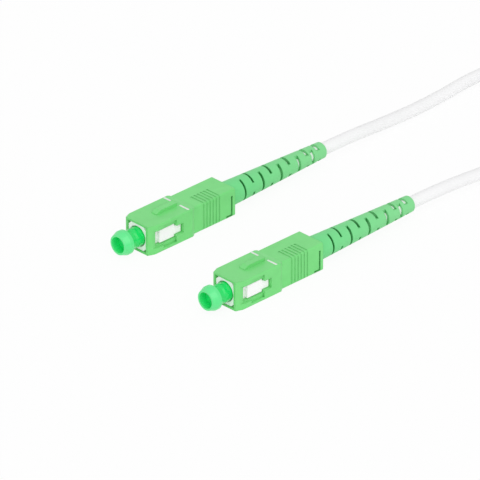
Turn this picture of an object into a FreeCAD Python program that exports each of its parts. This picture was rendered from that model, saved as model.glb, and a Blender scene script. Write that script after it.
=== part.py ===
import FreeCAD, Part
import math
import os
import re

import Sketcher
from FreeCAD import Placement, Rotation, Vector

os.makedirs("parts", exist_ok=True)
doc = FreeCAD.newDocument("PatchCord")

# Driving dimensions in millimetres. Along a connector, x runs from the outer housing's
# front face towards the cable, and heights are measured from the connector's own axis.
SIZES = {
    # the pair of connectors, lying side by side
    "pair_spacing": 32.5,
    "pair_stagger": 3.9,
    # outer housing
    "house_wide": 9.0,
    "house_high": 7.4,
    "house_long": 27.5,
    "nose_cut_wide": 0.96,
    "nose_cut_long": 2.4,
    "edge_round": 0.4,
    "grip_round": 0.5,
    "shoulder_at": 13.4,
    "shoulder_long": 1.0,
    "grip_inset_wide": 0.5,
    "grip_inset_high": 0.15,
    "slide_gap": 0.1,
    "rear_bore_at": 20.0,
    "rail_half": 2.2,
    "rail_half_wide": 2.85,
    "rail_deep": 0.5,
    "rail_widens_at": 4.3,
    "rail_end": 8.4,
    "window_front": 2.0,
    "window_half": 1.85,
    "slot_half": 1.25,
    "slot_end": 10.6,
    "rib_inset": 5.1,
    "rib_pitch": 1.0,
    "rib_count": 6,
    "rib_wide": 0.45,
    "rib_deep": 0.14,
    "rib_reach": 0.2,
    "key_front": 5.5,
    "key_rear": 12.0,
    "key_wide": 1.7,
    "key_high": 0.8,
    "key_ramp": 1.2,
    "tail_line_inset": 1.3,
    "tail_line_long": 1.5,
    "tail_line_wide": 0.5,
    "tail_line_deep": 0.45,
    "tail_line_low": 3.25,
    "tail_line_top": 1.9,
    # plug frame
    "frame_front": 0.2,
    "frame_rear": 19.8,
    "side_wall": 1.55,
    "top_wall": 0.45,
    "frame_corner": 0.9,
    "front_wall": 0.25,
    "web_at": 6.6,
    "web_thick": 0.7,
    "web_hole": 3.0,
    "rear_wall": 0.55,
    "block_sink": 0.25,
    "block_front": 3.6,
    "block_step": 8.2,
    "block_rear": 10.3,
    "block_half": 1.6,
    "block_tail_half": 1.1,
    # ferrule and its flange
    "ferrule_dia": 2.5,
    "ferrule_tip": -0.6,
    "ferrule_long": 10.5,
    "ferrule_cone": 0.35,
    "tip_cut": 0.35,
    "collar_front": 7.4,
    "collar_long": 1.8,
    "collar_gap": 0.15,
    "collar_notch": 0.8,
    "stem_dia": 3.2,
    "stem_end": 10.6,
    "tail_dia": 1.9,
    "tail_end": 14.5,
    "tail_bore": 1.05,
    "spring_gap": 0.245,
    "spring_wire": 0.36,
    "spring_turns": 6,
    "spring_sides": 6,
    "spring_steps": 12,
    # stop ring, crimp ring, yarn
    "stop_front": 16.0,
    "stop_gap": 0.05,
    "stop_flange_dia": 5.5,
    "stop_flange_rear": 21.1,
    "nipple_dia": 3.4,
    "nipple_end": 26.0,
    "stop_bore": 1.2,
    "crimp_front": 21.4,
    "crimp_dia": 4.4,
    "crimp_wall": 0.3,
    "crimp_step": 26.2,
    "crimp_neck_dia": 3.7,
    "crimp_end": 30.4,
    "fit_gap": 0.03,
    # boot
    "boot_front": 21.6,
    "boot_wall_gap": 0.75,
    "boot_taper_at": 28.5,
    "boot_end": 59.5,
    "boot_end_dia": 4.0,
    "boot_end_round": 0.35,
    "boot_gap": 0.2,
    "crimp_gap": 0.1,
    "boot_wide_gap": 0.3,
    "jacket_gap": 0.06,
    "slot_first": 32.05,
    "slot_pitch": 6.03,
    "slot_last_pitch": 4.6,
    "slot_stagger": 2.95,
    "slot_wide_front": 0.55,
    "slot_wide_rear": 1.05,
    "slot_chord": 1.1,
    "boot_turn": 9.0,
    # dust cap
    "cap_front": -5.95,
    "cap_front_dia": 4.9,
    "cap_knob_dia": 6.0,
    "cap_knob_full": -4.5,
    "cap_knob_rear": -3.6,
    "cap_neck_dia": 4.3,
    "cap_neck_end": -2.0,
    "cap_skirt_front": -1.5,
    "cap_skirt_gap": 0.25,
    "cap_skirt_end": 5.6,
    "cap_bore_gap": 0.05,
    "cap_bore_front": -1.6,
    "cap_cup_dia": 4.0,
    "cap_cup_deep": 1.9,
    # cable, coil and ties
    "cable_dia": 3.0,
    "core_dia": 2.0,
    "buffer_dia": 0.9,
    "buffer_front": 11.4,
    "coil_x": 107.0,
    "coil_y": -2.5,
    "coil_mean_dia": 36.0,
    "coil_stub": 16.0,
    "tie_thick": 0.6,
    "tie_wide": 5.0,
    "tie_slack": 0.35,
    "tie_tab": 3.0,
}

# Sizes that follow from the ones above, so that fits keep their walls and gaps.
FOLLOWING = {
    "frame_wide": "house_wide - 2 * side_wall - 2 * slide_gap",
    "frame_high": "house_high - 2 * top_wall - 2 * slide_gap",
    "front_bore": "frame_wide - 2 * front_wall",
    "rear_bore": "frame_wide - 2 * rear_wall",
    "block_wide": "house_wide - 2 * rail_deep - 2 * block_sink",
    "rib_first": "house_long - rib_inset - rib_pitch * (rib_count - 1)",
    "tail_line_at": "house_long - tail_line_inset",
    "collar_dia": "rear_bore - 2 * collar_gap",
    "spring_dia": "rear_bore - 2 * spring_gap - spring_wire",
    "stop_dia": "rear_bore - 2 * stop_gap",
    "boot_front_dia": "house_wide - 2 * grip_inset_wide - 2 * boot_wall_gap - 2 * boot_gap",
    "boot_wide_bore": "crimp_dia + 2 * crimp_gap",
    "boot_bore": "cable_dia + 2 * jacket_gap",
    "cap_skirt_dia": "front_bore - 2 * cap_skirt_gap",
    "cap_bore_dia": "ferrule_dia + 2 * cap_bore_gap",
}

sheet = doc.addObject("Spreadsheet::Sheet", "Sizes")
for row, (name, value) in enumerate(SIZES.items(), start=1):
    sheet.set(f"A{row}", name)
    sheet.set(f"B{row}", str(value))
    sheet.setAlias(f"B{row}", name)
doc.recompute()

sub_parts = []


def size(name):
    return float(sheet.get(name))


def bound(text):
    """The text as an expression that reads the sheet."""

    def read(word):
        name = word.group()
        return f"({bound(FOLLOWING[name])})" if name in FOLLOWING else f"Sizes.{name}"

    return re.sub(r"[a-z][a-z_]+", read, text)


def keep(piece, label):
    piece.Label = label
    sub_parts.append(piece)
    return piece


def place(piece, end, x="0"):
    """Puts a piece, drawn on its connector's axis, where that connector lies."""
    side = "" if end == "a" else "-"
    ahead = "0" if end == "a" else "pair_stagger"
    middle = "(boot_end + cap_front - pair_stagger) / 2"
    piece.setExpression("Placement.Base.x", bound(f"{x} - {ahead} - {middle}"))
    piece.setExpression("Placement.Base.y", bound(f"{side}pair_spacing / 2"))
    piece.setExpression("Placement.Base.z", bound("house_high / 2"))


def new_body(label):
    return keep(doc.addObject("PartDesign::Body", "Body_" + label), label)


def new_sketch(body, role, offset=None):
    plane = [f for f in body.Origin.OriginFeatures if f.Role == role][0]
    sketch = body.newObject("Sketcher::SketchObject", "Sketch")
    sketch.AttachmentSupport = [(plane, "")]
    sketch.MapMode = "FlatFace"
    if offset:
        sketch.setExpression("AttachmentOffset.Base.z", bound(offset))
    return sketch


def fix(sketch, kind, shape, point, text):
    number = sketch.addConstraint(Sketcher.Constraint(kind, -1, 1, shape, point, 1.0))
    sketch.setExpression(f"Constraints[{number}]", bound(text))


def outline(sketch, corners):
    """A closed outline with straight sides, each corner at a pair of expressions."""
    first = len(sketch.Geometry)
    count = len(corners)
    rough = [
        Vector(9 * math.cos(2 * math.pi * k / count), 9 * math.sin(2 * math.pi * k / count), 0)
        for k in range(count)
    ]
    for k in range(count):
        sketch.addGeometry(Part.LineSegment(rough[k], rough[(k + 1) % count]), False)
    for k in range(count):
        following = first + (k + 1) % count
        sketch.addConstraint(Sketcher.Constraint("Coincident", first + k, 2, following, 1))
    for k, (across, up) in enumerate(corners):
        fix(sketch, "DistanceX", first + k, 1, across)
        fix(sketch, "DistanceY", first + k, 1, up)


def rectangle(sketch, left, right, low, high):
    outline(sketch, [(left, low), (right, low), (right, high), (left, high)])


def circle(sketch, across, up, diameter):
    shape = sketch.addGeometry(Part.Circle(Vector(1, 1, 0), Vector(0, 0, 1), 1), False)
    number = sketch.addConstraint(Sketcher.Constraint("Diameter", shape, 2.0))
    sketch.setExpression(f"Constraints[{number}]", bound(diameter))
    fix(sketch, "DistanceX", shape, 3, across)
    fix(sketch, "DistanceY", shape, 3, up)


def pad(body, sketch, length, both_ways=False, backwards=False):
    feature = body.newObject("PartDesign::Pad", "Pad")
    feature.Profile = sketch
    feature.setExpression("Length", bound(length))
    feature.SideType = "Symmetric" if both_ways else "One side"
    feature.Reversed = backwards
    body.Tip = feature
    return feature


def pocket(body, sketch, length, both_ways=False, backwards=False):
    """A pocket. It is computed at once, because one that cuts nothing shows no error."""
    doc.recompute()
    before = body.Shape.Volume
    feature = body.newObject("PartDesign::Pocket", "Pocket")
    feature.Profile = sketch
    feature.setExpression("Length", bound(length))
    feature.SideType = "Symmetric" if both_ways else "One side"
    feature.Reversed = backwards
    body.Tip = feature
    doc.recompute()
    if feature.Shape.Volume > before - 1e-4:
        raise RuntimeError(f"a pocket of {body.Label} cuts nothing")
    return feature


def turned(body, profile):
    """A solid of revolution about the connector's axis, from (x, radius) corners."""
    sketch = new_sketch(body, "XZ_Plane")
    outline(sketch, profile)
    feature = body.newObject("PartDesign::Revolution", "Revolution")
    feature.Profile = sketch
    feature.ReferenceAxis = (sketch, ["H_Axis"])
    feature.Angle = 360
    body.Tip = feature
    return feature


def round_long_edges(body, wide, high, radius):
    """Rounds the four edges along x that lie at these widths and heights."""
    doc.recompute()
    solid = body.Tip
    names = []
    for number, edge in enumerate(solid.Shape.Edges, start=1):
        away = [
            max(abs(abs(v.Point.y) - wide / 2), abs(abs(v.Point.z) - high / 2))
            for v in edge.Vertexes
        ]
        if edge.Length > 2 and max(away) < 1e-5 and edge.BoundBox.XLength > 2:
            names.append(f"Edge{number}")
    rounding = body.newObject("PartDesign::Fillet", "Fillet")
    rounding.Base = (solid, names)
    rounding.setExpression("Radius", bound(radius))
    body.Tip = rounding


def mirrored(body, features, role):
    """The same features on the other side of one of the body's planes."""
    plane = [f for f in body.Origin.OriginFeatures if f.Role == role][0]
    feature = body.newObject("PartDesign::Mirrored", "Mirrored")
    feature.Originals = features
    feature.MirrorPlane = (plane, [""])
    body.Tip = feature
    return feature


def make_outer_housing(end):
    body = new_body(f"outer_housing_{end}")
    # the front block, then the slightly smaller grip behind it
    front = new_sketch(body, "YZ_Plane")
    rectangle(front, "-house_wide / 2", "house_wide / 2", "-house_high / 2", "house_high / 2")
    pad(body, front, "shoulder_at + shoulder_long")
    round_long_edges(body, size("house_wide"), size("house_high"), "edge_round")
    grip = new_sketch(body, "YZ_Plane", "shoulder_at")
    grip_wide = "(house_wide / 2 - grip_inset_wide)"
    grip_high = "(house_high / 2 - grip_inset_high)"
    rectangle(grip, f"-{grip_wide}", grip_wide, f"-{grip_high}", grip_high)
    pad(body, grip, "house_long - shoulder_at")
    round_long_edges(
        body,
        size("house_wide") - 2 * size("grip_inset_wide"),
        size("house_high") - 2 * size("grip_inset_high"),
        "grip_round",
    )

    # plan view: the nose corners are cut back, and the shoulder slopes in to the grip
    plan = new_sketch(body, "XY_Plane")
    for sign in ("", "-"):
        outline(
            plan,
            [
                ("-1", f"{sign}(house_wide / 2 - nose_cut_wide)"),
                ("0", f"{sign}(house_wide / 2 - nose_cut_wide)"),
                ("nose_cut_long", f"{sign}house_wide / 2"),
                ("nose_cut_long", f"{sign}(house_wide / 2 + 1)"),
                ("-1", f"{sign}(house_wide / 2 + 1)"),
            ],
        )
        outline(
            plan,
            [
                ("shoulder_at", f"{sign}house_wide / 2"),
                ("shoulder_at + shoulder_long", f"{sign}{grip_wide}"),
                ("shoulder_at + shoulder_long + 1", f"{sign}{grip_wide}"),
                ("shoulder_at + shoulder_long + 1", f"{sign}(house_wide / 2 + 1)"),
                ("shoulder_at", f"{sign}(house_wide / 2 + 1)"),
            ],
        )
    pocket(body, plan, "house_high + 2", both_ways=True)
    slope = new_sketch(body, "XZ_Plane")
    for sign in ("", "-"):
        outline(
            slope,
            [
                ("shoulder_at", f"{sign}house_high / 2"),
                ("shoulder_at + shoulder_long", f"{sign}{grip_high}"),
                ("shoulder_at + shoulder_long + 1", f"{sign}{grip_high}"),
                ("shoulder_at + shoulder_long + 1", f"{sign}(house_high / 2 + 1)"),
                ("shoulder_at", f"{sign}(house_high / 2 + 1)"),
            ],
        )
    pocket(body, slope, "house_wide + 2", both_ways=True)

    # finger ribs: a groove down one side and over half of the top, the same turned half
    # round the axis, and this pair repeated along the grip
    rib = new_sketch(body, "YZ_Plane", "rib_first - rib_wide / 2")
    for near, up in (("-", ""), ("", "-")):
        outline(
            rib,
            [
                (f"{near}(house_wide / 2 + 1)", f"{'' if up else '-'}(house_high / 2 + 1)"),
                (f"{near}({grip_wide} - rib_deep)", f"{'' if up else '-'}(house_high / 2 + 1)"),
                (f"{near}({grip_wide} - rib_deep)", f"{up}({grip_high} - rib_deep)"),
                (f"{'' if near else '-'}rib_reach", f"{up}({grip_high} - rib_deep)"),
                (f"{'' if near else '-'}rib_reach", f"{up}(house_high / 2 + 1)"),
                (f"{near}(house_wide / 2 + 1)", f"{up}(house_high / 2 + 1)"),
            ],
        )
    first_rib = pocket(body, rib, "rib_wide", backwards=True)
    ribs = body.newObject("PartDesign::LinearPattern", "LinearPattern")
    ribs.Originals = [first_rib]
    ribs.Direction = ([f for f in body.Origin.OriginFeatures if f.Role == "X_Axis"][0], [""])
    ribs.setExpression("Length", bound("rib_pitch * (rib_count - 1)"))
    ribs.setExpression("Occurrences", bound("rib_count"))
    body.Tip = ribs

    # the cavity that slides on the plug frame, and the round rear bore for the boot
    cavity = new_sketch(body, "YZ_Plane", "-1")
    wide = "(frame_wide / 2 + slide_gap)"
    high = "(frame_high / 2 + slide_gap)"
    rectangle(cavity, f"-{wide}", wide, f"-{high}", high)
    pocket(body, cavity, "rear_bore_at + 1", backwards=True)
    bore = new_sketch(body, "YZ_Plane", "rear_bore_at - 0.5")
    circle(bore, "0", "0", "boot_front_dia + 2 * boot_gap")
    pocket(body, bore, "house_long", backwards=True)

    # side recess between the rails, wider behind the post, and mirrored
    recess = new_sketch(body, "XZ_Plane", "house_wide / 2 - rail_deep")
    outline(
        recess,
        [
            ("-1", "-rail_half"),
            ("rail_widens_at", "-rail_half"),
            ("rail_widens_at", "-rail_half_wide"),
            ("rail_end", "-rail_half_wide"),
            ("rail_end", "rail_half_wide"),
            ("rail_widens_at", "rail_half_wide"),
            ("rail_widens_at", "rail_half"),
            ("-1", "rail_half"),
        ],
    )
    side_recess = pocket(body, recess, "rail_deep + 1", backwards=True)
    mirrored(body, [side_recess], "XZ_Plane")

    # latch windows through both sides, narrower towards the rear
    window = new_sketch(body, "XZ_Plane")
    outline(
        window,
        [
            ("window_front", "-window_half"),
            ("rail_end", "-window_half"),
            ("rail_end", "-slot_half"),
            ("slot_end", "-slot_half"),
            ("slot_end", "slot_half"),
            ("rail_end", "slot_half"),
            ("rail_end", "window_half"),
            ("window_front", "window_half"),
        ],
    )
    pocket(body, window, "house_wide + 2", both_ways=True)

    # shallow L-shaped line near the rear of each side
    tail = new_sketch(body, "XZ_Plane", "house_wide / 2 - grip_inset_wide - tail_line_deep")
    outline(
        tail,
        [
            ("tail_line_at - tail_line_long", "-tail_line_low"),
            ("tail_line_at + tail_line_wide", "-tail_line_low"),
            ("tail_line_at + tail_line_wide", "tail_line_top"),
            ("tail_line_at", "tail_line_top"),
            ("tail_line_at", "-tail_line_low + tail_line_wide"),
            ("tail_line_at - tail_line_long", "-tail_line_low + tail_line_wide"),
        ],
    )
    tail_line = pocket(body, tail, "tail_line_deep + 1", backwards=True)
    mirrored(body, [tail_line], "XZ_Plane")

    # polarising key on the top face, with a ramped front
    key = new_sketch(body, "XZ_Plane")
    outline(
        key,
        [
            ("key_front", "house_high / 2 - 0.2"),
            ("key_rear", "house_high / 2 - 0.2"),
            ("key_rear", "house_high / 2 + key_high"),
            ("key_front + key_ramp", "house_high / 2 + key_high"),
            ("key_front", "house_high / 2 + key_high / 4"),
        ],
    )
    pad(body, key, "key_wide", both_ways=True)
    place(body, end)


def make_plug_frame(end):
    body = new_body(f"plug_frame_{end}")
    # the body: a box with its four long corners cut
    section = new_sketch(body, "YZ_Plane", "frame_front")
    half_wide = "frame_wide / 2"
    half_high = "frame_high / 2"
    quarter = [
        (f"({half_wide})", f"({half_high} - frame_corner)"),
        (f"({half_wide} - frame_corner)", f"({half_high})"),
    ]
    corners = quarter + [(f"-{y}", z) for y, z in reversed(quarter)]
    corners += [(f"-{y}", f"-{z}") for y, z in quarter]
    corners += [(y, f"-{z}") for y, z in reversed(quarter)]
    outline(section, corners)
    pad(body, section, "frame_rear - frame_front")
    # latch blocks that stand in the housing's windows
    block = new_sketch(body, "XZ_Plane")
    outline(
        block,
        [
            ("block_front", "-block_half"),
            ("block_step", "-block_half"),
            ("block_step", "-block_tail_half"),
            ("block_rear", "-block_tail_half"),
            ("block_rear", "block_tail_half"),
            ("block_step", "block_tail_half"),
            ("block_step", "block_half"),
            ("block_front", "block_half"),
        ],
    )
    pad(body, block, "block_wide", both_ways=True)
    # bores: the mating bore in front, the web's hole, and the rear bore
    for start, depth, diameter in (
        ("frame_front - 1", "web_at - frame_front + 1", "front_bore"),
        ("web_at - 0.5", "web_thick + 1", "web_hole"),
        ("web_at + web_thick", "frame_rear - web_at", "rear_bore"),
    ):
        hole = new_sketch(body, "YZ_Plane", start)
        circle(hole, "0", "0", diameter)
        pocket(body, hole, depth, backwards=True)
    place(body, end)


def make_ferrule(end):
    body = new_body(f"ferrule_{end}")
    turned(
        body,
        [
            ("ferrule_tip", "0"),
            ("ferrule_tip", "ferrule_dia / 2 - ferrule_cone"),
            ("ferrule_tip + ferrule_cone", "ferrule_dia / 2"),
            ("ferrule_tip + ferrule_long", "ferrule_dia / 2"),
            ("ferrule_tip + ferrule_long", "0"),
        ],
    )
    # the end face is polished at 8 degrees: tip_cut is its rise across the ferrule
    angled = new_sketch(body, "XZ_Plane")
    outline(
        angled,
        [
            ("ferrule_tip - 1", "-ferrule_dia"),
            ("ferrule_tip", "-ferrule_dia / 2"),
            ("ferrule_tip + tip_cut", "ferrule_dia / 2"),
            ("ferrule_tip + tip_cut", "ferrule_dia"),
            ("ferrule_tip - 1", "ferrule_dia"),
        ],
    )
    pocket(body, angled, "ferrule_dia + 2", both_ways=True)
    place(body, end)


def make_ferrule_flange(end):
    body = new_body(f"ferrule_flange_{end}")
    turned(
        body,
        [
            ("collar_front", "ferrule_dia / 2"),
            ("collar_front", "collar_dia / 2"),
            ("collar_front + collar_long", "collar_dia / 2"),
            ("collar_front + collar_long", "stem_dia / 2"),
            ("stem_end", "stem_dia / 2"),
            ("stem_end", "tail_dia / 2"),
            ("tail_end", "tail_dia / 2"),
            ("tail_end", "tail_bore / 2"),
            ("ferrule_tip + ferrule_long", "tail_bore / 2"),
            ("ferrule_tip + ferrule_long", "ferrule_dia / 2"),
        ],
    )
    # tuning notches in the collar's rim, above and below
    notch = new_sketch(body, "YZ_Plane", "collar_front - 0.5")
    for sign in ("", "-"):
        rectangle(
            notch,
            "-collar_notch / 2",
            "collar_notch / 2",
            f"{sign}(collar_dia / 2 - 0.4)",
            f"{sign}(collar_dia / 2 + 1)",
        )
    pocket(body, notch, "collar_long + 1", backwards=True)
    place(body, end)


def make_ferrule_spring(end):
    """A coil spring of wire with flat sides, ruled from one cross-section to the next."""
    wire = size("spring_wire") / 2
    bore = size("house_wide") - 2 * (size("side_wall") + size("slide_gap") + size("rear_wall"))
    radius = bore / 2 - size("spring_gap") - wire
    start = size("collar_front") + size("collar_long") + wire + size("fit_gap")
    finish = size("stop_front") - wire - size("fit_gap")
    sides = int(size("spring_sides"))
    steps = int(size("spring_steps") * size("spring_turns"))
    sections = []
    for k in range(steps + 1):
        about = 2 * math.pi * k / size("spring_steps")
        outward = Vector(0, math.cos(about), math.sin(about))
        middle = outward * radius + Vector((finish - start) * k / steps, 0, 0)
        rim = [
            middle
            + outward * (wire * math.cos(2 * math.pi * j / sides))
            + Vector(wire * math.sin(2 * math.pi * j / sides), 0, 0)
            for j in range(sides)
        ]
        sections.append(Part.makePolygon(rim + rim[:1]))
    spring = keep(doc.addObject("Part::Feature", "Spring_" + end), f"ferrule_spring_{end}")
    spring.Shape = Part.makeLoft(sections, True, True)
    spring.Placement = Placement()
    place(spring, end, str(start))


def make_stop_ring(end):
    body = new_body(f"stop_ring_{end}")
    turned(
        body,
        [
            ("stop_front", "stop_bore / 2"),
            ("stop_front", "stop_dia / 2"),
            ("frame_rear", "stop_dia / 2"),
            ("frame_rear", "stop_flange_dia / 2"),
            ("stop_flange_rear", "stop_flange_dia / 2"),
            ("stop_flange_rear", "nipple_dia / 2"),
            ("nipple_end", "nipple_dia / 2"),
            ("nipple_end", "stop_bore / 2"),
        ],
    )
    place(body, end)


def make_yarn(end):
    body = new_body(f"aramid_yarn_{end}")
    turned(
        body,
        [
            ("crimp_front", "nipple_dia / 2 + fit_gap"),
            ("crimp_front", "crimp_dia / 2 - crimp_wall - fit_gap"),
            ("nipple_end", "crimp_dia / 2 - crimp_wall - fit_gap"),
            ("nipple_end", "nipple_dia / 2 + fit_gap"),
        ],
    )
    place(body, end)


def make_crimp_ring(end):
    body = new_body(f"crimp_ring_{end}")
    turned(
        body,
        [
            ("crimp_front", "crimp_dia / 2 - crimp_wall"),
            ("crimp_front", "crimp_dia / 2"),
            ("crimp_step", "crimp_dia / 2"),
            ("crimp_step + 0.4", "crimp_neck_dia / 2"),
            ("crimp_end", "crimp_neck_dia / 2"),
            ("crimp_end", "cable_dia / 2 + fit_gap"),
            ("crimp_step + 0.2", "cable_dia / 2 + fit_gap"),
            ("crimp_step - 0.1", "crimp_dia / 2 - crimp_wall"),
        ],
    )
    place(body, end)


def make_jacket_end(end):
    body = new_body(f"cable_jacket_{end}")
    turned(
        body,
        [
            ("crimp_step + 0.3", "core_dia / 2"),
            ("crimp_step + 0.3", "cable_dia / 2"),
            ("boot_end", "cable_dia / 2"),
            ("boot_end", "core_dia / 2"),
        ],
    )
    place(body, end)


def make_buffer(end):
    fibre = keep(doc.addObject("Part::Cylinder", "Buffer_" + end), f"buffered_fibre_{end}")
    fibre.setExpression("Radius", bound("buffer_dia / 2"))
    fibre.setExpression("Height", bound("boot_end - buffer_front"))
    fibre.Placement = Placement(Vector(0, 0, 0), Rotation(Vector(0, 1, 0), 90))
    place(fibre, end, "buffer_front")


def make_boot(end):
    body = new_body(f"boot_{end}")
    turned(
        body,
        [
            ("boot_front", "boot_wide_bore / 2"),
            ("boot_front", "boot_front_dia / 2"),
            ("boot_taper_at", "boot_front_dia / 2"),
            ("boot_end - boot_end_round", "boot_end_dia / 2"),
            ("boot_end", "boot_end_dia / 2 - boot_end_round"),
            ("boot_end", "boot_bore / 2"),
            ("crimp_end + boot_wide_gap", "boot_bore / 2"),
            ("crimp_end + boot_wide_gap", "boot_wide_bore / 2"),
        ],
    )
    # two rows of five slots, one through the sides and one through top and bottom
    for role, stagger in (("XY_Plane", "0"), ("XZ_Plane", "1")):
        row = new_sketch(body, role)
        for k in range(5):
            reach = f"{min(k, 3)} * slot_pitch + {max(k - 3, 0)} * slot_last_pitch"
            middle = f"slot_first + {stagger} * slot_stagger + {reach}"
            if k == 4 and stagger == "1":
                middle = "slot_first + 3 * slot_pitch + slot_last_pitch + 0.7 * slot_stagger"
            wide = f"(slot_wide_front + (slot_wide_rear - slot_wide_front) * {k} / 4)"
            for sign in ("", "-"):
                rectangle(
                    row,
                    f"{middle} - {wide} / 2",
                    f"{middle} + {wide} / 2",
                    f"{sign}slot_chord",
                    f"{sign}boot_front_dia",
                )
        pocket(body, row, "boot_front_dia + 2", both_ways=True)
    body.Placement.Rotation = Rotation(Vector(1, 0, 0), -size("boot_turn"))
    place(body, end)


def make_dust_cap(end):
    body = new_body(f"dust_cap_{end}")
    turned(
        body,
        [
            ("cap_front + cap_cup_deep", "0"),
            ("cap_front + cap_cup_deep", "cap_cup_dia / 2 - 0.2"),
            ("cap_front", "cap_cup_dia / 2"),
            ("cap_front", "cap_front_dia / 2"),
            ("cap_knob_full", "cap_knob_dia / 2"),
            ("cap_knob_rear", "cap_knob_dia / 2"),
            ("cap_knob_rear", "cap_neck_dia / 2"),
            ("cap_neck_end", "cap_neck_dia / 2"),
            ("cap_skirt_front", "cap_skirt_dia / 2"),
            ("cap_skirt_end", "cap_skirt_dia / 2"),
            ("cap_skirt_end", "cap_bore_dia / 2"),
            ("cap_bore_front", "cap_bore_dia / 2"),
            ("cap_bore_front", "0"),
        ],
    )
    place(body, end)


def rounded_path(points):
    """Straight runs joined by tangent arcs, each as large as its two runs allow."""
    start = points[0]
    edges = []
    radii = []
    for before, corner, after in zip(points, points[1:], points[2:]):
        back = (before - corner).normalize()
        ahead = (after - corner).normalize()
        turn = math.pi - back.getAngle(ahead)
        shorter = min((before - corner).Length, (after - corner).Length)
        cut = 0.45 * shorter
        radius = cut / math.tan(turn / 2)
        first = corner + back * cut
        last = corner + ahead * cut
        to_middle = (back + ahead).normalize()
        middle = corner + to_middle * (radius / math.cos(turn / 2) - radius)
        edges.append(Part.LineSegment(start, first).toShape())
        edges.append(Part.Arc(first, middle, last).toShape())
        start = last
        radii.append(radius)
    edges.append(Part.LineSegment(start, points[-1]).toShape())
    return Part.Wire(edges), radii


def make_run(name, points):
    """A stretch of free cable along a route. Its volume is checked against its length."""
    path, radii = rounded_path(points)
    section = math.pi * size("cable_dia") ** 2 / 4
    rim = Part.Circle(points[0], points[1] - points[0], size("cable_dia") / 2)
    tube = path.makePipeShell([Part.Wire([rim.toShape()])], True, True)
    run = keep(doc.addObject("Part::Feature", "Run_" + name), name)
    run.Shape = tube
    run.Placement = Placement()
    print(name, "length", round(path.Length, 1), "arc radii", [round(r, 1) for r in radii])
    print(name, "volume over section times length", round(tube.Volume / section / path.Length, 4))


def make_coil():
    body = new_body("cable_coil")
    half = "1.5 * cable_dia"
    corner = "cable_dia / 3"
    inner = f"(coil_mean_dia / 2 - {half})"
    outer = f"(coil_mean_dia / 2 + {half})"
    section = new_sketch(body, "XZ_Plane")
    outline(
        section,
        [
            (f"{inner} + {corner}", "0"),
            (f"{outer} - {corner}", "0"),
            (outer, corner),
            (outer, f"3 * cable_dia - {corner}"),
            (f"{outer} - {corner}", "3 * cable_dia"),
            (f"{inner} + {corner}", "3 * cable_dia"),
            (inner, f"3 * cable_dia - {corner}"),
            (inner, corner),
        ],
    )
    ring = body.newObject("PartDesign::Revolution", "Revolution")
    ring.Profile = section
    ring.ReferenceAxis = (section, ["V_Axis"])
    ring.Angle = 360
    body.Tip = ring
    # the two ends of the cable leave the outermost turn: end a low, end b one turn higher
    for side, height in (("", "0.5"), ("-", "1.5")):
        leaving = new_sketch(body, "YZ_Plane")
        circle(leaving, f"{side}(coil_mean_dia / 2 + cable_dia)", f"{height} * cable_dia", "cable_dia")
        pad(body, leaving, "coil_stub", backwards=True)
    body.setExpression("Placement.Base.x", bound("coil_x"))
    body.setExpression("Placement.Base.y", bound("coil_y"))
    body.setExpression("Placement.Base.z", bound("tie_thick"))


def make_tie(number, degrees):
    """A strap round the coil's bundle of turns, with a short tab on top."""
    body = new_body(f"coil_tie_{number}")
    half = "1.5 * cable_dia"
    inner = f"(coil_mean_dia / 2 - {half} - tie_slack)"
    outer = f"(coil_mean_dia / 2 + {half} + fit_gap)"
    loop = new_sketch(body, "XZ_Plane")
    rectangle(loop, f"{inner} - tie_thick", f"{outer} + tie_thick", "0", "3 * cable_dia + 2 * tie_thick")
    rectangle(loop, inner, outer, "tie_thick", "3 * cable_dia + tie_thick")
    pad(body, loop, "tie_wide", both_ways=True)
    tab = new_sketch(body, "XZ_Plane")
    rectangle(
        tab,
        f"{outer} + tie_thick - 0.2",
        f"{outer} + tie_thick + tie_tab",
        "3 * cable_dia + tie_thick",
        "3 * cable_dia + 2 * tie_thick",
    )
    pad(body, tab, "tie_wide", both_ways=True)
    body.Placement.Rotation = Rotation(Vector(0, 0, 1), degrees)
    body.setExpression("Placement.Base.x", bound("coil_x"))
    body.setExpression("Placement.Base.y", bound("coil_y"))


def make_cable():
    """The free cable: a run from each boot to the coil, and the coil with its ties."""
    middle = (size("boot_end") + size("cap_front") - size("pair_stagger")) / 2
    exit_a = size("boot_end") - middle
    exit_b = exit_a - size("pair_stagger")
    axis = size("house_high") / 2
    lane = size("pair_spacing") / 2
    coil_front = size("coil_x") - size("coil_stub")
    coil_reach = size("coil_mean_dia") / 2 + size("cable_dia")
    coil_low = size("tie_thick") + size("cable_dia") / 2
    coil_a = size("coil_y") + coil_reach
    coil_b = size("coil_y") - coil_reach
    route_a = [
        Vector(exit_a, lane, axis),
        Vector(exit_a + 9.0, lane, axis),
        Vector(54.0, 16.8, 2.7),
        Vector(65.5, 17.5, 1.75),
        Vector(76.0, 18.0, 1.7),
        Vector(coil_front - 7.0, coil_a, coil_low),
        Vector(coil_front, coil_a, coil_low),
    ]
    route_b = [
        Vector(exit_b, -lane, axis),
        Vector(exit_b + 9.0, -lane, axis),
        Vector(49.5, -15.7, 2.7),
        Vector(59.5, -15.8, 1.8),
        Vector(68.3, -17.9, 1.8),
        Vector(76.3, -21.5, 3.2),
        Vector(coil_front - 7.0, coil_b, coil_low + size("cable_dia")),
        Vector(coil_front, coil_b, coil_low + size("cable_dia")),
    ]
    make_run("cable_run_a", route_a)
    make_run("cable_run_b", route_b)
    make_coil()
    for number, degrees in enumerate((10, 195), start=1):
        make_tie(number, degrees)


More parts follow.
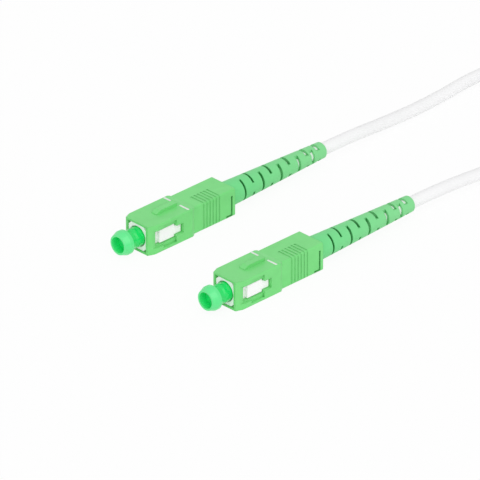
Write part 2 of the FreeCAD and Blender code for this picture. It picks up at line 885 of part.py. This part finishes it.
for end in ("a", "b"):
    make_outer_housing(end)
    make_plug_frame(end)
    make_ferrule(end)
    make_ferrule_flange(end)
    make_ferrule_spring(end)
    make_stop_ring(end)
    make_yarn(end)
    make_crimp_ring(end)
    make_jacket_end(end)
    make_buffer(end)
    make_boot(end)
    make_dust_cap(end)
make_cable()
doc.recompute()

for item in doc.Objects:
    if "Invalid" in item.State or "Error" in item.State:
        raise RuntimeError(f"{item.Label} failed: {item.State}")
for piece in sub_parts:
    if piece.Shape.isNull() or not piece.Shape.isValid() or len(piece.Shape.Solids) != 1:
        raise RuntimeError(f"{piece.Label} is not one valid solid")
for piece in sub_parts:
    piece.Shape.exportStep(f"parts/{piece.Label}.step")
    box = piece.Shape.BoundBox
    print(
        f"{piece.Label:20s} {piece.Shape.Volume:9.3f} mm3",
        f"x {box.XMin:8.3f} {box.XMax:8.3f} y {box.YMin:8.3f} {box.YMax:8.3f}",
        f"z {box.ZMin:7.3f} {box.ZMax:7.3f}",
    )
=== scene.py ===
import math
import bmesh
import bpy
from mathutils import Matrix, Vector


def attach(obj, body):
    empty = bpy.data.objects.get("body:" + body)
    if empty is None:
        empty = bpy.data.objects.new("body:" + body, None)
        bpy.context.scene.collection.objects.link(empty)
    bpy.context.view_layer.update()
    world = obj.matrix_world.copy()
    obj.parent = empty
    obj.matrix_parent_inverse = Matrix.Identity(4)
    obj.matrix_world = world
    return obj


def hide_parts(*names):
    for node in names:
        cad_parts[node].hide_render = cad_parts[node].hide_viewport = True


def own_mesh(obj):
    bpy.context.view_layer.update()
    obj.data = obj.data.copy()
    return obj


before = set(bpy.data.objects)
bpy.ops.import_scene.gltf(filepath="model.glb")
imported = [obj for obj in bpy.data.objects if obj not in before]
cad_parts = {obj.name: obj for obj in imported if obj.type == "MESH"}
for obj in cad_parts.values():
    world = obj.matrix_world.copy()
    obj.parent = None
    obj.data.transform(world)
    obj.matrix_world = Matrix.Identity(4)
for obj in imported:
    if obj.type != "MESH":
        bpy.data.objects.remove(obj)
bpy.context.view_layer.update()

mm = 0.001
# x and y of each connector's front face, and the height of its axis; mm
housingFront = {"a": (-24.825, 16.25), "b": (-28.725, -16.25)}
axisHeight = 3.7


def addObject(name, data):
    piece = bpy.data.objects.new(name, data)
    bpy.context.scene.collection.objects.link(piece)
    return piece


def meshPiece(name, mesh, material):
    data = bpy.data.meshes.new(name)
    mesh.to_mesh(data)
    mesh.free()
    data.materials.append(material)
    return addObject(name, data)


# the photograph's view, from far off through a very long lens; width, aim and sensor in mm, the rest in m
camera = {
    "azimuth": -44.5, "elevation": 28.8, "distance": 2.5, "width": 109.34, "aim": (-9.025, -1.25, 3.54),
    "sensor": 36, "near": 0.05, "far": 20,
}


def makeCamera():
    a, e = math.radians(camera["azimuth"]), math.radians(camera["elevation"])
    back = Vector((math.sin(a) * math.cos(e), -math.cos(a) * math.cos(e), math.sin(e)))
    data = bpy.data.cameras.new("camera")
    data.sensor_width = camera["sensor"]
    data.lens = camera["sensor"] * camera["distance"] / (camera["width"] * mm)
    data.clip_start, data.clip_end = camera["near"], camera["far"]
    eye = addObject("camera", data)
    eye.location = Vector(camera["aim"]) * mm + back * camera["distance"]
    eye.rotation_mode = "QUATERNION"
    eye.rotation_quaternion = (-back).to_track_quat("-Z", "Y")
    bpy.context.scene.camera = eye


makeCamera()
print("camera set")


# fills a node's inputs, by name or number: a socket is linked, anything else is set
def feed(tree, node, inputs):
    for key, value in inputs.items():
        if isinstance(value, bpy.types.NodeSocket):
            tree.links.new(value, node.inputs[key])
        else:
            node.inputs[key].default_value = value


def addNode(tree, kind, inputs=None, **settings):
    node = tree.nodes.new(kind)
    for name, value in settings.items():
        setattr(node, name, value)
    feed(tree, node, inputs or {})
    return node


def newMaterial(name):
    material = bpy.data.materials.new(name)
    material.use_nodes = True
    return material, material.node_tree, material.node_tree.nodes["Principled BSDF"]


def maths(tree, operation, first, second):
    return addNode(tree, "ShaderNodeMath", {0: first, 1: second}, operation=operation).outputs[0]


def mapRange(tree, value, low, high, toLow, toHigh):
    inputs = {"Value": value, "From Min": low, "From Max": high, "To Min": toLow, "To Max": toHigh}
    return addNode(tree, "ShaderNodeMapRange", inputs).outputs["Result"]


def mixColours(tree, share, first, second):
    first, second = (c if isinstance(c, bpy.types.NodeSocket) else (*c, 1) for c in (first, second))
    inputs = {"Factor": share, "A": first, "B": second}
    return addNode(tree, "ShaderNodeMix", inputs, data_type="RGBA").outputs["Result"]


def bumped(tree, height, look, under=None):
    inputs = {"Height": height, "Strength": look["bump"], "Distance": look.get("bumpDepth", 0.02) * mm}
    if under is not None:
        inputs["Normal"] = under
    return addNode(tree, "ShaderNodeBump", inputs).outputs["Normal"]


# grain and flow of moulded plastic, used by every material but the metals and the straps' cloth
def makeMouldingGroup():
    group = bpy.data.node_groups.new("mouldedPlastic", "ShaderNodeTree")
    group.interface.new_socket("Vector", in_out="INPUT", socket_type="NodeSocketVector")
    for name, value in (("Grain Size", 4000.0), ("Grain Depth", 0.3), ("Flow Size", 120.0)):
        socket = group.interface.new_socket(name, in_out="INPUT", socket_type="NodeSocketFloat")
        socket.default_value = value
    for name in ("Height", "Cloud", "Speck"):
        group.interface.new_socket(name, in_out="OUTPUT", socket_type="NodeSocketFloat")
    given = group.nodes.new("NodeGroupInput").outputs
    grain = addNode(group, "ShaderNodeTexNoise", {
        "Vector": given["Vector"], "Scale": given["Grain Size"], "Detail": 4,
    }).outputs["Fac"]
    flow = addNode(group, "ShaderNodeTexNoise", {
        "Vector": given["Vector"], "Scale": given["Flow Size"], "Detail": 2, "Distortion": 0.8,
    }).outputs["Fac"]
    height = maths(group, "ADD", maths(group, "MULTIPLY", grain, given["Grain Depth"]), flow)
    addNode(group, "NodeGroupOutput", {"Height": height, "Cloud": flow, "Speck": grain})
    return group


moulding = makeMouldingGroup()
# the parts of a noise's range that are stretched to a full change of colour and of roughness
cloudRange, speckRange = (0.35, 0.7), (0.3, 0.7)
# samples for the painted shade in hollows, and for the rounded edges
paintedShadeSamples, edgeSamples = 8, 6


def plastic(name, look):
    material, tree, shader = newMaterial(name)
    where = tree.nodes.new("ShaderNodeTexCoord").outputs["Object"]
    surface = addNode(tree, "ShaderNodeGroup", {
        "Vector": where, "Grain Size": look["grainSize"], "Grain Depth": look["grainDepth"],
        "Flow Size": look["flowSize"],
    }, node_tree=moulding).outputs
    cloud = mapRange(tree, surface["Cloud"], *cloudRange, 0, 1)
    colour = mixColours(tree, cloud, look["colour"], look["shade"])
    # a second colour along the length: on the cap it is painted shade behind the knob, on the boot a paler
    # tone towards the tail
    if "fadeAt" in look:
        along = addNode(tree, "ShaderNodeSeparateXYZ", {"Vector": where}).outputs["X"]
        start, full = look["fadeAt"]
        share = mapRange(tree, along, start * mm, full * mm, 0, 1)
        colour = mixColours(tree, share, colour, look["fade"])
    # painted shade: the colour turns to the crevice colour where ambient occlusion finds the surface hemmed
    # in, in slots, grooves and recesses
    if "paintedShade" in look:
        near = addNode(tree, "ShaderNodeAmbientOcclusion", {"Distance": look["paintedShadeReach"] * mm},
                       samples=paintedShadeSamples, only_local=True)
        share = mapRange(tree, near.outputs["AO"], *look["paintedShadeRange"], 0, 1)
        colour = mixColours(tree, share, look["paintedShade"], colour)
    edge = None
    if "softEdge" in look:
        bevel = addNode(tree, "ShaderNodeBevel", {"Radius": look["softEdge"] * mm}, samples=edgeSamples)
        edge = bevel.outputs["Normal"]
    feed(tree, shader, {
        "Base Color": colour,
        "Roughness": mapRange(tree, surface["Speck"], *speckRange, *look["roughness"]),
        "Normal": bumped(tree, surface["Height"], look, edge),
        **look.get("sockets", {}),
    })
    return material


def metal(name, look):
    material, tree, shader = newMaterial(name)
    where = tree.nodes.new("ShaderNodeTexCoord").outputs["Object"]
    stretched = addNode(tree, "ShaderNodeMapping", {"Vector": where, "Scale": look["stretch"]})
    grain = addNode(tree, "ShaderNodeTexNoise", {
        "Vector": stretched.outputs["Vector"], "Scale": look["grainSize"], "Detail": 5,
    }).outputs["Fac"]
    feed(tree, shader, {
        "Base Color": mixColours(tree, grain, look["colour"], look["shade"]),
        "Metallic": 1,
        "Roughness": mapRange(tree, grain, *speckRange, *look["roughness"]),
        "Normal": bumped(tree, grain, look),
    })
    return material


def wovenCloth(name, look):
    material, tree, shader = newMaterial(name)
    where = tree.nodes.new("ShaderNodeUVMap").outputs["UV"]
    warp, weft = (addNode(tree, "ShaderNodeTexWave", {
        "Vector": where, "Scale": look["threads"], "Distortion": look["wobble"],
        "Detail Scale": look["wobbleScale"],
    }, bands_direction=direction).outputs["Fac"] for direction in "XY")
    weave = maths(tree, "MULTIPLY", warp, weft)
    feed(tree, shader, {
        "Base Color": mixColours(tree, weave, look["shade"], look["colour"]),
        "Roughness": mapRange(tree, weave, 0, 1, *look["roughness"]),
        "Sheen Weight": look["sheen"],
        "Normal": bumped(tree, weave, look),
    })
    return material


# colours are linear; reaches, depths and edges in mm; sizes are noise scales per metre
# each crevice colour below is painted shade, laid on in hollows by ambient occlusion
finishes = {
    "housing": {
        "colour": (0.205, 0.755, 0.23), "shade": (0.19, 0.72, 0.215), "roughness": (0.3, 0.42),
        "grainSize": 5200, "grainDepth": 0.5, "flowSize": 260, "bump": 0.35, "softEdge": 0.26,
        "paintedShade": (0.002, 0.22, 0.04), "paintedShadeReach": 0.8, "paintedShadeRange": (0.15, 0.55),
        "sockets": {"Specular IOR Level": 0.36},
    },
    "boot": {
        "colour": (0.195, 0.75, 0.285), "shade": (0.18, 0.72, 0.268), "roughness": (0.38, 0.52),
        "fade": (0.245, 0.735, 0.305),
        "grainSize": 4200, "grainDepth": 0.7, "flowSize": 220, "bump": 0.4, "softEdge": 0.1,
        "paintedShade": (0.0, 0.24, 0.03), "paintedShadeReach": 1.6, "paintedShadeRange": (0.25, 0.7),
        "sockets": {"Specular IOR Level": 0.22},
    },
    "cap": {
        "colour": (0.12, 0.85, 0.28), "shade": (0.11, 0.83, 0.265), "roughness": (0.2, 0.28),
        # the cap's fade colour is painted shade on its neck and inside the housing
        "fade": (0.004, 0.74, 0.13),
        "grainSize": 3000, "grainDepth": 0.2, "flowSize": 300, "bump": 0.06,
        "paintedShade": (0.003, 0.79, 0.185), "paintedShadeReach": 3.0, "paintedShadeRange": (0.45, 0.95),
        "sockets": {"Coat Weight": 0.15},
    },
    # the plug frame's pale pink colour cancels the green light that the housing throws on it, and its faint
    # glow lifts it in its recessed windows: both are painted light
    "plugFrame": {
        "colour": (0.985, 0.955, 0.985), "shade": (0.97, 0.94, 0.97), "roughness": (0.28, 0.38),
        "grainSize": 4200, "grainDepth": 0.4, "flowSize": 240, "bump": 0.3, "softEdge": 0.12,
        "sockets": {"Emission Color": (1.0, 1.0, 1.0, 1.0), "Emission Strength": 0.07},
    },
    "jacket": {
        "colour": (0.96, 0.96, 0.965), "shade": (0.94, 0.94, 0.945), "roughness": (0.4, 0.5),
        "grainSize": 900, "grainDepth": 0.3, "flowSize": 120, "bump": 0.03,
    },
    "ceramic": {
        "colour": (0.9, 0.9, 0.88), "shade": (0.87, 0.87, 0.86), "roughness": (0.08, 0.16),
        "grainSize": 9000, "grainDepth": 0.1, "flowSize": 400, "bump": 0.08,
        "sockets": {"Coat Weight": 0.4},
    },
    "buffer": {
        "colour": (0.85, 0.85, 0.83), "shade": (0.8, 0.8, 0.79), "roughness": (0.3, 0.4),
        "grainSize": 6000, "grainDepth": 0.3, "flowSize": 400, "bump": 0.2,
    },
    "yarn": {
        "colour": (0.78, 0.55, 0.12), "shade": (0.55, 0.36, 0.06), "roughness": (0.5, 0.7),
        "grainSize": 8000, "grainDepth": 1.5, "flowSize": 1500, "bump": 1.0, "bumpDepth": 0.05,
    },
    "marking": {
        "colour": (0.86, 0.88, 0.86), "shade": (0.8, 0.83, 0.8), "roughness": (0.4, 0.5),
        "grainSize": 9000, "grainDepth": 0.5, "flowSize": 900, "bump": 0.3,
    },
    "strapLoops": {
        "colour": (0.075, 0.075, 0.08), "shade": (0.05, 0.05, 0.054), "roughness": (0.6, 0.8),
        "grainSize": 6000, "grainDepth": 0.5, "flowSize": 500, "bump": 0.2,
    },
}
# where one colour fades into the next, mm behind the housing's front: the cap's deepens behind its knob,
# as painted shade on its neck and inside the housing, and the boot's pales towards its tail
fades = {"cap": (-3.8, -2.9), "boot": (31.0, 54.0)}
metals = {
    "turnedMetal": {
        "colour": (0.72, 0.71, 0.69), "shade": (0.6, 0.59, 0.57), "roughness": (0.22, 0.36),
        "stretch": (40, 1, 1), "grainSize": 300, "bump": 0.3, "bumpDepth": 0.01,
    },
    "drawnWire": {
        "colour": (0.62, 0.62, 0.64), "shade": (0.5, 0.5, 0.52), "roughness": (0.2, 0.3),
        "stretch": (1, 1, 1), "grainSize": 1800, "bump": 0.3, "bumpDepth": 0.01,
    },
}
cloth = {
    "colour": (0.05, 0.05, 0.055), "shade": (0.012, 0.012, 0.014), "roughness": (0.9, 0.7),
    "threads": 3.0, "wobble": 0.6, "wobbleScale": 3, "sheen": 0.4, "bump": 0.8, "bumpDepth": 0.1,
}

materials = {name: plastic(name, look) for name, look in finishes.items() if name not in fades}
for end, (front, _) in housingFront.items():
    for name, (start, full) in fades.items():
        look = {**finishes[name], "fadeAt": (front + start, front + full)}
        materials[f"{name}_{end}"] = plastic(f"{name}_{end}", look)
materials.update({name: metal(name, look) for name, look in metals.items()})
materials["strap"] = wovenCloth("strap", cloth)
print("materials made")

# cable: from boot a along the floor, round the coil and back to boot b; mm, but the length in m
cable = {
    "diameter": 3.0,
    "length": 0.97,
    "coilCentre": (107.0, -2.5),
    "lift": 0.6,
    "pointsPerTurn": 14,
    "order": 3,
    "resolution": 5,
    "roundness": 5,
    # the share of a turn after which the cable slides over to the next one, and the share that it takes
    "slideFrom": 0.7,
    "slideOver": 0.3,
    # ring radius and height of each turn, from end a to end b
    "turns": [(21, 1.5), (18, 1.5), (15, 1.5), (15, 4.5), (15, 7.5), (18, 7.5), (18, 4.5)],
    "lastHalf": (21, 4.5),
    "fromA": [
        (34.675, 16.25, 3.7), (43.675, 16.25, 3.7), (54.0, 16.8, 2.7), (65.5, 17.5, 1.75),
        (76.0, 18.0, 1.7), (84.0, 18.5, 2.1), (91.0, 18.5, 2.1), (99.5, 18.5, 2.1),
    ],
    "fromB": [
        (30.775, -16.25, 3.7), (39.775, -16.25, 3.7), (49.5, -15.7, 2.7), (59.5, -15.8, 1.8),
        (68.3, -17.9, 1.8), (76.3, -21.5, 3.2), (84.0, -23.5, 5.1), (91.0, -23.5, 5.1), (99.5, -23.5, 5.1),
    ],
}


def makeCable():
    cx, cy = cable["coilCentre"]
    steps = cable["pointsPerTurn"]
    slots = cable["turns"] + [cable["lastHalf"]]
    grow = 1 / math.cos(math.pi / steps)  # the curve runs inside its points
    points = []
    for k in range(len(cable["turns"]) * steps + steps // 2):
        turn, step = divmod(k, steps)
        radius, height = slots[turn]
        nextRadius, nextHeight = slots[min(turn + 1, len(slots) - 1)]
        share = min(1, max(0, (step / steps - cable["slideFrom"]) / cable["slideOver"]))
        share = share * share * (3 - 2 * share)
        radius += (nextRadius - radius) * share
        height += (nextHeight - height) * share
        angle = math.pi / 2 - 2 * math.pi * (k + 0.5) / steps
        points.append((
            cx + radius * grow * math.cos(angle),
            cy + radius * grow * math.sin(angle),
            height + cable["lift"],
        ))
    route = cable["fromA"] + points + cable["fromB"][::-1]
    data = bpy.data.curves.new("cable", "CURVE")
    data.dimensions = "3D"
    spline = data.splines.new("NURBS")
    spline.points.add(len(route) - 1)
    for point, place in zip(spline.points, route):
        point.co = (*(Vector(place) * mm), 1)
    spline.order_u = cable["order"]
    spline.use_endpoint_u = True
    spline.resolution_u = cable["resolution"]
    spline.use_smooth = True
    data.bevel_depth = cable["diameter"] / 2 * mm
    data.bevel_resolution = cable["roundness"]
    data.use_fill_caps = True
    piece = addObject("cable", data)
    data.materials.append(materials["jacket"])
    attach(piece, "cord")
    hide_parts("cable_run_a", "cable_run_b", "cable_coil")


makeCable()
print("cable laid")

# the connectors' CAD nodes keep their shapes and get their finishes
nodeFinish = {
    "outer_housing": "housing", "boot": "boot", "dust_cap": "cap", "plug_frame": "plugFrame",
    "ferrule": "ceramic", "ferrule_flange": "turnedMetal",
    "stop_ring": "turnedMetal", "crimp_ring": "turnedMetal", "aramid_yarn": "yarn",
    "cable_jacket": "jacket", "buffered_fibre": "buffer",
}
for node, finish in nodeFinish.items():
    for end in "ab":
        target = bpy.data.objects[f"{node}_{end}"].data
        target.materials.clear()
        target.materials.append(materials.get(finish) or materials[f"{finish}_{end}"])
print("finishes on the connectors")


# the points of a rounded rectangle: each corner's centre, then the way out of it
def roundedCorners(x0, x1, y0, y1, corner, steps):
    points = []
    for cx, cy, start in ((x1, y1, 0), (x0, y1, 90), (x0, y0, 180), (x1, y0, 270)):
        sx, sy = (-1 if cx == x1 else 1), (-1 if cy == y1 else 1)
        for k in range(steps + 1):
            a = math.radians(start + k * 90 / steps)
            points.append((cx + sx * corner, cy + sy * corner, math.cos(a), math.sin(a)))
    return points


# plain white lines printed across the top of each housing; mm, spans from the housing's middle
lines = {
    "at": 12.6, "wide": 0.5, "thick": 0.025, "sunk": 0.01, "spans": [(0.7, 4.1), (-4.1, -1.1)],
    "corner": 0.12, "cornerSteps": 4,
}


def addRoundedSlab(mesh, x0, x1, y0, y1, z0, z1):
    corner = lines["corner"]
    ring = [(cx + corner * c, cy + corner * s)
            for cx, cy, c, s in roundedCorners(x0, x1, y0, y1, corner, lines["cornerSteps"])]
    low = [mesh.verts.new(Vector((x, y, z0)) * mm) for x, y in ring]
    high = [mesh.verts.new(Vector((x, y, z1)) * mm) for x, y in ring]
    mesh.faces.new(high)
    mesh.faces.new(low[::-1])
    for k in range(len(ring)):
        after = (k + 1) % len(ring)
        mesh.faces.new((low[k], low[after], high[after], high[k]))


def makeLines(end):
    x, y = housingFront[end]
    middle, half, top = x + lines["at"], lines["wide"] / 2, 2 * axisHeight
    mesh = bmesh.new()
    for y0, y1 in lines["spans"]:
        addRoundedSlab(mesh, middle - half, middle + half, y + y0, y + y1,
                       top - lines["sunk"], top + lines["thick"])
    piece = meshPiece(f"printed_lines_{end}", mesh, materials["marking"])
    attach(piece, f"housing_{end}")


for end in "ab":
    makeLines(end)
print("lines printed")


# a geometry tree with its named inputs; each tree takes a mesh and a material
def openTree(name, inputs):
    tree = bpy.data.node_groups.new(name, "GeometryNodeTree")
    for socket, kind in {"Geometry": "Geometry", **inputs, "Material": "Material"}.items():
        tree.interface.new_socket(socket, in_out="INPUT", socket_type=f"NodeSocket{kind}")
    tree.interface.new_socket("Geometry", in_out="OUTPUT", socket_type="NodeSocketGeometry")
    return tree, tree.nodes.new("NodeGroupInput").outputs


def closeTree(tree, given, geometry):
    real = addNode(tree, "GeometryNodeRealizeInstances", {"Geometry": geometry})
    paint = addNode(tree, "GeometryNodeSetMaterial", {
        "Geometry": real.outputs["Geometry"], "Material": given["Material"],
    })
    addNode(tree, "NodeGroupOutput", {"Geometry": paint.outputs["Geometry"]})
    return tree


def circle(tree, radius, sides):
    inputs = {"Radius": radius, "Resolution": sides}
    return addNode(tree, "GeometryNodeCurvePrimitiveCircle", inputs, mode="RADIUS").outputs["Curve"]


# what a tree makes becomes the piece's plain mesh
def grow(piece, tree, values):
    modifier = piece.modifiers.new("grow", "NODES")
    modifier.node_group = tree
    for item in tree.interface.items_tree:
        if item.in_out == "INPUT" and item.name in values:
            modifier[item.identifier] = values[item.name]
    bpy.context.view_layer.update()
    ready = bpy.data.meshes.new_from_object(piece.evaluated_get(bpy.context.evaluated_depsgraph_get()))
    piece.modifiers.clear()
    piece.data = ready


# springs behind the ferrules: round wire, with closer turns at both ends; mm from the housing's front
spring = {
    "start": 9.41, "end": 15.79, "held": 16.0, "radius": 1.875, "wire": 0.18, "turns": 6.0,
    "closed": 0.6, "travel": 1.2, "steps": 24, "wireSides": 8,
}


def makeSpringTree():
    tree, given = openTree("coilSpring", {
        "Turns": "Float", "Coil Radius": "Float", "Length": "Float", "Wire Radius": "Float",
        "Closed Ends": "Float", "Steps": "Int", "Place": "Vector",
    })
    coil = addNode(tree, "GeometryNodeCurveSpiral", {
        "Resolution": given["Steps"], "Rotations": given["Turns"], "Height": 0,
        "Start Radius": given["Coil Radius"], "End Radius": given["Coil Radius"],
    })
    # the coil rises by a straight share and an eased share
    along = tree.nodes.new("GeometryNodeSplineParameter").outputs["Factor"]
    eased = addNode(tree, "ShaderNodeMapRange", {"Value": along}, interpolation_type="SMOOTHSTEP")
    rise = addNode(tree, "ShaderNodeMix", {
        "Factor": given["Closed Ends"], "A": along, "B": eased.outputs["Result"],
    }, data_type="FLOAT")
    height = maths(tree, "MULTIPLY", rise.outputs["Result"], given["Length"])
    raised = addNode(tree, "GeometryNodeSetPosition", {
        "Geometry": coil.outputs["Curve"],
        "Offset": addNode(tree, "ShaderNodeCombineXYZ", {"Z": height}).outputs[0],
    })
    tube = addNode(tree, "GeometryNodeCurveToMesh", {
        "Curve": raised.outputs["Geometry"], "Fill Caps": True,
        "Profile Curve": circle(tree, given["Wire Radius"], spring["wireSides"]),
    })
    laid = addNode(tree, "GeometryNodeTransform", {
        "Geometry": tube.outputs["Mesh"], "Rotation": (0, math.pi / 2, 0), "Translation": given["Place"],
    })
    smooth = addNode(tree, "GeometryNodeSetShadeSmooth", {"Geometry": laid.outputs["Geometry"]})
    return closeTree(tree, given, smooth.outputs["Geometry"])


springTree = makeSpringTree()
for end, (x, y) in housingFront.items():
    piece = addObject(f"coil_spring_{end}", bpy.data.meshes.new(f"coil_spring_{end}"))
    grow(piece, springTree, {
        "Turns": spring["turns"], "Coil Radius": spring["radius"] * mm, "Wire Radius": spring["wire"] * mm,
        "Length": (spring["end"] - spring["start"]) * mm, "Closed Ends": spring["closed"],
        "Steps": spring["steps"], "Place": Vector((x + spring["start"], y, axisHeight)) * mm,
        "Material": materials["drawnWire"],
    })
    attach(piece, "cord")
    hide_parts(f"ferrule_spring_{end}")
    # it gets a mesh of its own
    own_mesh(piece)
    print(f"spring {end}: {len(piece.data.polygons)} faces")

# straps round the coil; mm and degrees round the coil's middle
strap = {
    "wide": 5.0, "thick": 0.6, "gap": 0.04, "turns": (13.5, 22.5), "high": 9.0, "corner": 1.3,
    "cornerSteps": 6, "angles": (10, 195), "edge": 0.12,
}
# a pile of small loops on their outside; mm, radians, points per square metre, sizes as shares of the loop
pile = {
    "loop": 0.23, "loopSides": 7, "thread": 0.04, "threadSides": 3, "spacing": 0.38, "density": 4e6, "seed": 7,
    "sizes": (0.6, 1.05), "tilt": 0.3, "spin": 6.28, "inset": 0.4, "sunk": 0.1, "lowest": 1.5,
}


def makePileTree():
    tree, given = openTree("loopPile", {
        "Loop Radius": "Float", "Thread Radius": "Float", "Spacing": "Float", "Seed": "Int",
    })
    scatter = addNode(tree, "GeometryNodeDistributePointsOnFaces", {
        "Density Max": pile["density"], "Mesh": given["Geometry"], "Distance Min": given["Spacing"],
        "Seed": given["Seed"],
    }, distribute_method="POISSON").outputs
    loop = addNode(tree, "GeometryNodeCurveToMesh", {
        "Curve": circle(tree, given["Loop Radius"], pile["loopSides"]),
        "Profile Curve": circle(tree, given["Thread Radius"], pile["threadSides"]),
    })
    stood = addNode(tree, "GeometryNodeTransform", {
        "Geometry": loop.outputs["Mesh"], "Rotation": (math.pi / 2, 0, 0),
    })
    smallest, largest = pile["sizes"]
    size = addNode(tree, "FunctionNodeRandomValue", {2: smallest, 3: largest, "Seed": given["Seed"]},
                   data_type="FLOAT")
    placed = addNode(tree, "GeometryNodeInstanceOnPoints", {
        "Points": scatter["Points"], "Instance": stood.outputs["Geometry"], "Rotation": scatter["Rotation"],
        "Scale": size.outputs[1],
    })
    tilt = pile["tilt"]
    turn = addNode(tree, "FunctionNodeRandomValue", {
        0: (-tilt, -tilt, 0), 1: (tilt, tilt, pile["spin"]), "Seed": given["Seed"],
    }, data_type="FLOAT_VECTOR")
    turned = addNode(tree, "GeometryNodeRotateInstances", {
        "Instances": placed.outputs["Instances"], "Rotation": turn.outputs[0],
    })
    return closeTree(tree, given, turned.outputs["Instances"])


pileTree = makePileTree()


def makeStrap(number, degrees):
    inner, outer = strap["turns"][0] - strap["gap"], strap["turns"][1] + strap["gap"]
    low, high = strap["thick"], strap["thick"] + strap["high"] + strap["gap"]
    corner = strap["corner"]
    path = roundedCorners(inner, outer, low, high, corner, strap["cornerSteps"])
    turn = math.radians(degrees)
    along = Vector((math.cos(turn), math.sin(turn), 0))
    across = Vector((-math.sin(turn), math.cos(turn), 0))
    centre = Vector((*cable["coilCentre"], 0))

    def place(spot, out, y):
        cx, cz, c, s = spot
        r, z = cx + (corner + out) * c, cz + (corner + out) * s
        return (centre + along * r + across * y + Vector((0, 0, z))) * mm

    reach = [0.0]
    for p, q in zip(path, path[1:] + path[:1]):
        reach.append(reach[-1] + (place(q, 0, 0) - place(p, 0, 0)).length / mm)
    half, edge, thick = strap["wide"] / 2, strap["edge"], strap["thick"]
    # the strap's section, as pairs of out and across, with its corners cut
    section = [
        (0, -half + edge), (0, half - edge), (edge, half), (thick - edge, half),
        (thick, half - edge), (thick, -half + edge), (thick - edge, -half), (edge, -half),
    ]
    mesh = bmesh.new()
    uv = mesh.loops.layers.uv.new("UVMap")
    rings = [[mesh.verts.new(place(spot, out, y)) for out, y in section] for spot in path]
    for k, a in enumerate(rings):
        b = rings[(k + 1) % len(rings)]
        for j in range(len(section)):
            i = (j + 1) % len(section)
            face = mesh.faces.new((a[j], a[i], b[i], b[j]))
            face.smooth = True
            corners = ((k, j), (k, i), (k + 1, i), (k + 1, j))
            for loop, (step, side) in zip(face.loops, corners):
                loop[uv].uv = (reach[step], section[side][1])
    bmesh.ops.recalc_face_normals(mesh, faces=mesh.faces)
    piece = meshPiece(f"strap_{number}", mesh, materials["strap"])
    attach(piece, "cord")
    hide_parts(f"coil_tie_{number}")

    # the loops grow on a band just under the strap's outside, above the floor
    ground = bmesh.new()
    rim = half - pile["inset"]
    band = [[ground.verts.new(place(spot, thick - pile["sunk"], y)) for y in (-rim, rim)] for spot in path]
    for a, b in zip(band, band[1:] + band[:1]):
        if max(v.co.z for v in (*a, *b)) > pile["lowest"] * mm:
            ground.faces.new((a[0], a[1], b[1], b[0]))
    bmesh.ops.recalc_face_normals(ground, faces=ground.faces)
    loops = meshPiece(f"strap_loops_{number}", ground, materials["strapLoops"])
    grow(loops, pileTree, {
        "Loop Radius": pile["loop"] * mm, "Thread Radius": pile["thread"] * mm,
        "Spacing": pile["spacing"] * mm, "Seed": pile["seed"] + number, "Material": materials["strapLoops"],
    })
    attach(loops, "cord")
    print(f"strap {number}: {len(loops.data.polygons)} faces of loops")


for number, degrees in enumerate(strap["angles"], start=1):
    makeStrap(number, degrees)
print("straps made")

# floor and light: size in m, angle in degrees, white is the share of plain white in what the camera sees
stage = {
    "size": 4.0, "colour": (0.98, 0.98, 0.98), "roughness": 0.9, "white": 0.93, "sky": 0.65,
    "key": 1.1, "keyAngle": 70, "keyAim": (0.65, 0.85, -1),
}


def seenRays(tree):
    path = tree.nodes.new("ShaderNodeLightPath").outputs
    total = path["Is Camera Ray"]
    for ray in ("Is Glossy Ray", "Is Transmission Ray"):
        total = maths(tree, "MAXIMUM", total, path[ray])
    return total


def mixShaders(tree, share, first, second, output):
    mix = addNode(tree, "ShaderNodeMixShader", {"Fac": share, 1: first.outputs[0], 2: second.outputs[0]})
    feed(tree, tree.nodes[output], {"Surface": mix.outputs[0]})


def makeStage():
    white = (1, 1, 1, 1)
    material, tree, shader = newMaterial("floor")
    feed(tree, shader, {
        "Base Color": (*stage["colour"], 1), "Roughness": stage["roughness"], "Specular IOR Level": 0.0,
    })
    share = maths(tree, "MULTIPLY", seenRays(tree), stage["white"])
    mixShaders(tree, share, shader, addNode(tree, "ShaderNodeEmission", {"Color": white}), "Material Output")
    mesh = bmesh.new()
    bmesh.ops.create_grid(mesh, x_segments=1, y_segments=1, size=stage["size"] / 2)
    meshPiece("floor", mesh, material)

    world = bpy.data.worlds.new("studio")
    world.use_nodes = True
    tree = world.node_tree
    sky = tree.nodes["Background"]
    feed(tree, sky, {"Color": white, "Strength": stage["sky"]})
    direct = addNode(tree, "ShaderNodeBackground", {"Color": white, "Strength": 1})
    mixShaders(tree, seenRays(tree), sky, direct, "World Output")
    bpy.context.scene.world = world

    lamp = bpy.data.lights.new("key", "SUN")
    lamp.energy = stage["key"]
    lamp.angle = math.radians(stage["keyAngle"])
    key = addObject("key", lamp)
    key.rotation_mode = "QUATERNION"
    key.rotation_quaternion = Vector(stage["keyAim"]).normalized().to_track_quat("-Z", "Y")
    bpy.context.scene.view_settings.view_transform = "Standard"


makeStage()
print("studio lit")
